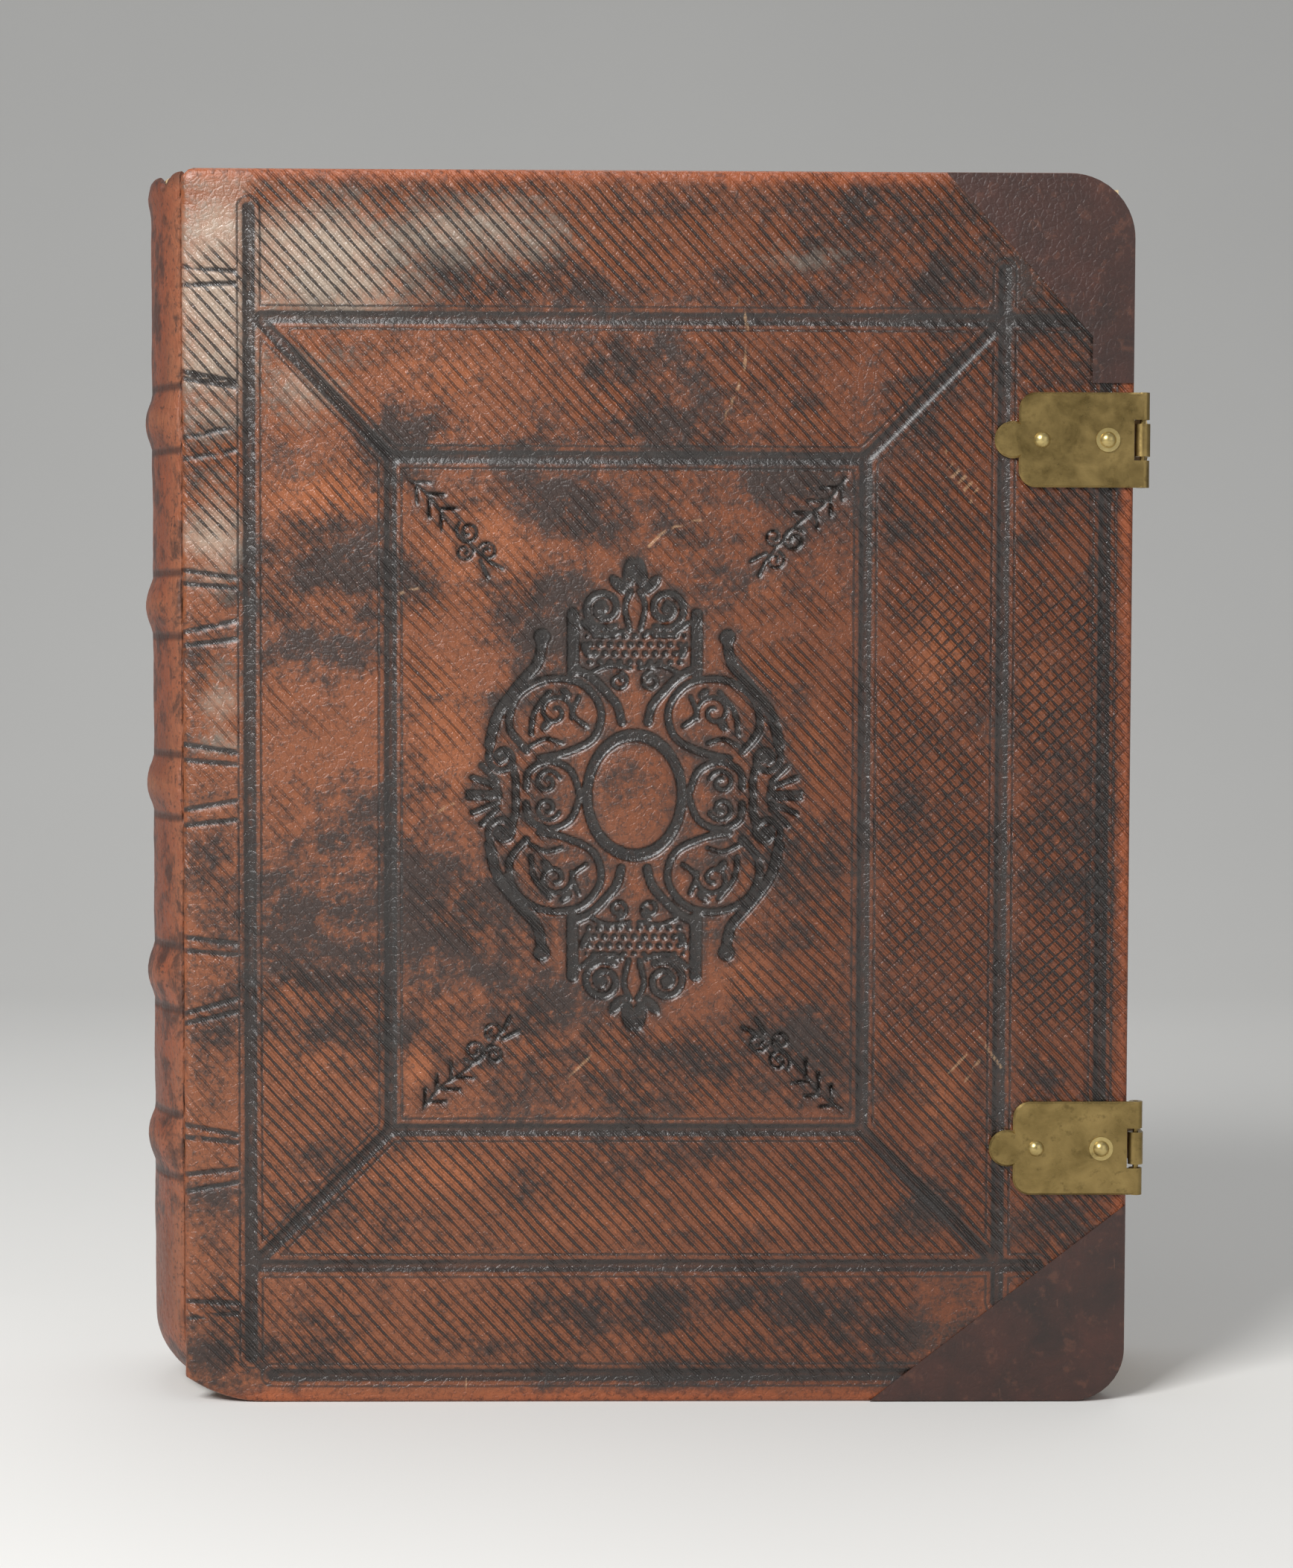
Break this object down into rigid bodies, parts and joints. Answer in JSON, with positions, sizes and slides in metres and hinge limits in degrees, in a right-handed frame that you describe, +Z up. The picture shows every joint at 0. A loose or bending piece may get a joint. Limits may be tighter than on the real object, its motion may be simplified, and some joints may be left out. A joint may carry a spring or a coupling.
{
  "type": "antique leather book",
  "caption": "Leather-bound book with wooden boards, raised spine bands, blind-tooled covers that open, and hinged brass clasps at the fore-edge.",
  "frame": {"origin": "centre of the bounding box in X and Y, at the tail edge that the book stands on", "axes": "+Z up from tail to head, +X from the spine to the fore-edge, -Y out of the front cover"},
  "size_m": [0.2653, 0.072, 0.32],
  "materials": {
    "pages": "aged paper edges",
    "pasted_paper": "aged paper",
    "hemp_cord": "twisted cord",
    "endband_thread": "wound thread",
    "board_wood": "plain sawn",
    "rivet_brass": "worn",
    "clasp_brass": "aged, dull",
    "patch_leather": "dark, plain",
    "spine_leather": "worn, red-brown",
    "cover_leather": "blind-tooled, worn"
  },
  "bodies": {
    "text": {"text_block": "pages", "spine_lining_1": "pasted_paper", "spine_lining_2": "pasted_paper", "spine_lining_3": "pasted_paper", "spine_lining_4": "pasted_paper", "spine_lining_5": "pasted_paper", "spine_lining_6": "pasted_paper", "sewing_cord_1": "hemp_cord", "sewing_cord_2": "hemp_cord", "sewing_cord_3": "hemp_cord", "sewing_cord_4": "hemp_cord", "sewing_cord_5": "hemp_cord", "head_band": "endband_thread", "tail_band": "endband_thread", "spine_leather": "spine_leather"},
    "front_cover": {"front_board": "board_wood", "front_leather": "cover_leather", "front_pastedown": "pasted_paper", "upper_corner_patch": "patch_leather", "lower_corner_patch": "patch_leather", "upper_clasp_plate": "clasp_brass", "upper_hinge_pin": "clasp_brass", "upper_clasp_plate_inner_rivet": "rivet_brass", "upper_clasp_plate_outer_rivet": "rivet_brass", "lower_clasp_plate": "clasp_brass", "lower_hinge_pin": "clasp_brass", "lower_clasp_plate_inner_rivet": "rivet_brass", "lower_clasp_plate_outer_rivet": "rivet_brass"},
    "back_cover": {"back_board": "board_wood", "back_leather": "cover_leather", "back_pastedown": "pasted_paper", "upper_catch_plate": "clasp_brass", "upper_catch_bar": "clasp_brass", "upper_catch_plate_inner_rivet": "rivet_brass", "upper_catch_plate_outer_rivet": "rivet_brass", "lower_catch_plate": "clasp_brass", "lower_catch_bar": "clasp_brass", "lower_catch_plate_inner_rivet": "rivet_brass", "lower_catch_plate_outer_rivet": "rivet_brass"},
    "upper_clasp": {"upper_clasp_arm": "clasp_brass"},
    "lower_clasp": {"lower_clasp_arm": "clasp_brass"}
  },
  "joints": [
    {"name": "front_cover_hinge", "type": "hinge", "parent": "text", "child": "front_cover", "pos_m": [-0.11887, -0.03225, 0.16], "axis": [0, 0, -1], "range_deg": [0, 180]},
    {"name": "back_cover_hinge", "type": "hinge", "parent": "text", "child": "back_cover", "pos_m": [-0.11887, 0.03225, 0.16], "axis": [0, 0, 1], "range_deg": [0, 180]},
    {"name": "upper_clasp_hinge", "type": "hinge", "parent": "front_cover", "child": "upper_clasp", "pos_m": [0.12838, -0.03255, 0.2513], "axis": [0, 0, -1], "range_deg": [-2, 160]},
    {"name": "lower_clasp_hinge", "type": "hinge", "parent": "front_cover", "child": "lower_clasp", "pos_m": [0.12838, -0.03255, 0.067], "axis": [0, 0, -1], "range_deg": [-2, 160]}
  ]
}
